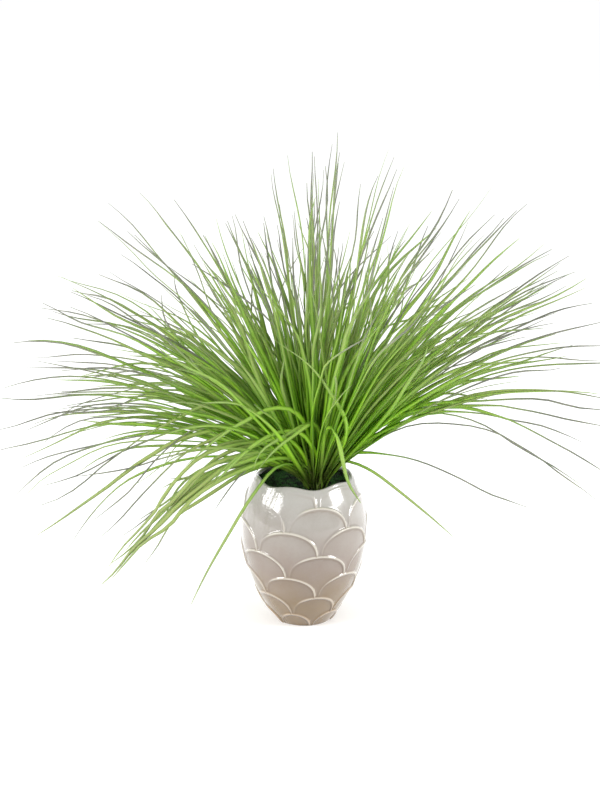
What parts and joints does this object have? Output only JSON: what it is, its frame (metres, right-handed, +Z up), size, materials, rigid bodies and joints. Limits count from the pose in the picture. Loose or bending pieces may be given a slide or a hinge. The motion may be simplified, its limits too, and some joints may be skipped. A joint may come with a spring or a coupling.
{
  "type": "potted chives",
  "caption": "Tuft of long narrow chive leaves in a round glazed ceramic pot with a raised fish-scale pattern.",
  "frame": {"origin": "centre of the pot's flat base, on the surface that it stands on", "axes": "+Z up; the front, as the picture shows it, faces -Y; +X towards the picture's right, along the plant's widest spread"},
  "size_m": [0.675, 0.5917, 0.5229],
  "materials": {
    "glaze": "glossy white glaze that turns warm tan towards the foot",
    "soil": "dark, crumbly",
    "moss": "matte, short and dense",
    "leaf": "satin, with fine lengthwise veins"
  },
  "bodies": {
    "root": {"leaf_behind_left_rim": "leaf", "leaf_beside_right_rim": "leaf", "leaf_low_right": "leaf", "leaf_over_front_rim": "leaf", "leaf_over_right_rim": "leaf", "moss": "moss", "pot": "glaze", "soil": "soil", "tuft_01": "leaf", "tuft_02": "leaf", "tuft_03": "leaf", "tuft_04": "leaf", "tuft_05": "leaf", "tuft_06": "leaf", "tuft_07": "leaf", "tuft_08": "leaf", "tuft_09": "leaf", "tuft_10": "leaf", "tuft_11": "leaf", "tuft_12": "leaf", "tuft_13": "leaf", "tuft_14": "leaf", "tuft_15": "leaf", "tuft_16": "leaf", "tuft_17": "leaf", "tuft_18": "leaf", "tuft_19": "leaf", "tuft_20": "leaf", "tuft_21": "leaf", "tuft_22": "leaf", "tuft_23": "leaf", "tuft_24": "leaf", "tuft_25": "leaf", "tuft_26": "leaf", "tuft_27": "leaf", "tuft_28": "leaf", "tuft_29": "leaf", "tuft_30": "leaf", "tuft_31": "leaf", "tuft_32": "leaf", "tuft_33": "leaf", "tuft_34": "leaf", "tuft_35": "leaf", "tuft_36": "leaf", "tuft_37": "leaf", "tuft_38": "leaf", "tuft_39": "leaf", "tuft_40": "leaf", "tuft_41": "leaf", "tuft_42": "leaf", "tuft_43": "leaf", "tuft_44": "leaf", "tuft_45": "leaf", "tuft_46": "leaf", "tuft_low_left_1": "leaf", "tuft_low_left_2": "leaf", "tuft_low_left_3": "leaf", "tuft_low_right_1": "leaf", "tuft_low_right_2": "leaf"}
  },
  "joints": []
}
